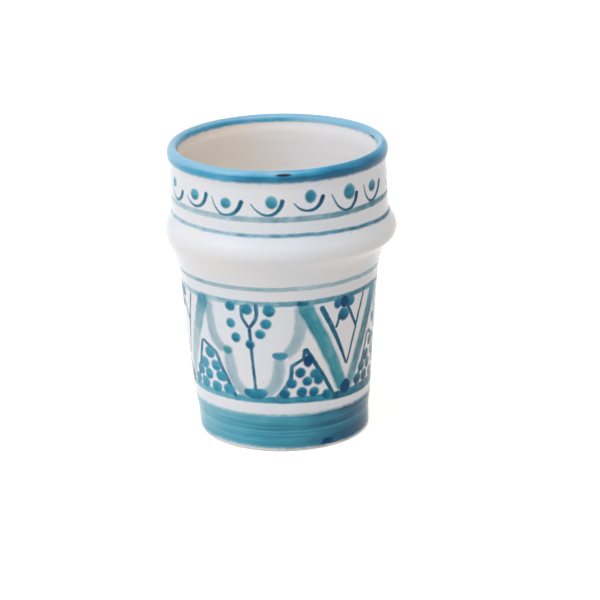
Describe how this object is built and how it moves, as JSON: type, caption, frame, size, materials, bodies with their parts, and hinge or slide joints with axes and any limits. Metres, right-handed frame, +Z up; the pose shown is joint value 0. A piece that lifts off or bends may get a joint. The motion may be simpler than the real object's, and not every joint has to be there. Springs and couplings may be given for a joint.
{
  "type": "ceramic cup",
  "caption": "Hand-thrown glazed ceramic cup with a tapered body, shoulder ring, straight collar and rounded lip, brush-painted with arches, chevrons and dotted nets",
  "frame": {"origin": "centre of the foot, on the surface that the cup stands on", "axes": "+Z up along the cup's axis; -Y is the front, where one painted arch is centred; +X to the right seen from the front"},
  "size_m": [0.0782, 0.0782, 0.1],
  "materials": {
    "clay": "bare fired clay",
    "white_glaze": "glossy tin glaze",
    "rim_blue": "glossy brushed colour",
    "teal_colour": "glossy brushed colour",
    "blue_colour": "glossy brushed colour",
    "pale_wash": "glossy thin wash"
  },
  "bodies": {
    "root": {"clay_body": "clay", "inside_glaze": "white_glaze", "outside_glaze": "white_glaze", "rim_band": "rim_blue", "garland_scallops": "blue_colour", "garland_dots": "teal_colour", "collar_line": "teal_colour", "shoulder_line": "teal_colour", "waist_line": "teal_colour", "panel_top_line": "blue_colour", "panel_bottom_line": "blue_colour", "foot_band": "teal_colour", "chevron_stripes": "teal_colour", "chevron_drops": "blue_colour", "inner_chevrons": "blue_colour", "lozenge_lines": "blue_colour", "flower_dots": "blue_colour", "arch_lobes": "pale_wash", "cusp_accents": "teal_colour", "arch_feet": "teal_colour", "sprig_stems": "blue_colour", "sprig_berries": "teal_colour", "net_outlines": "blue_colour", "net_dots": "teal_colour"}
  },
  "joints": []
}
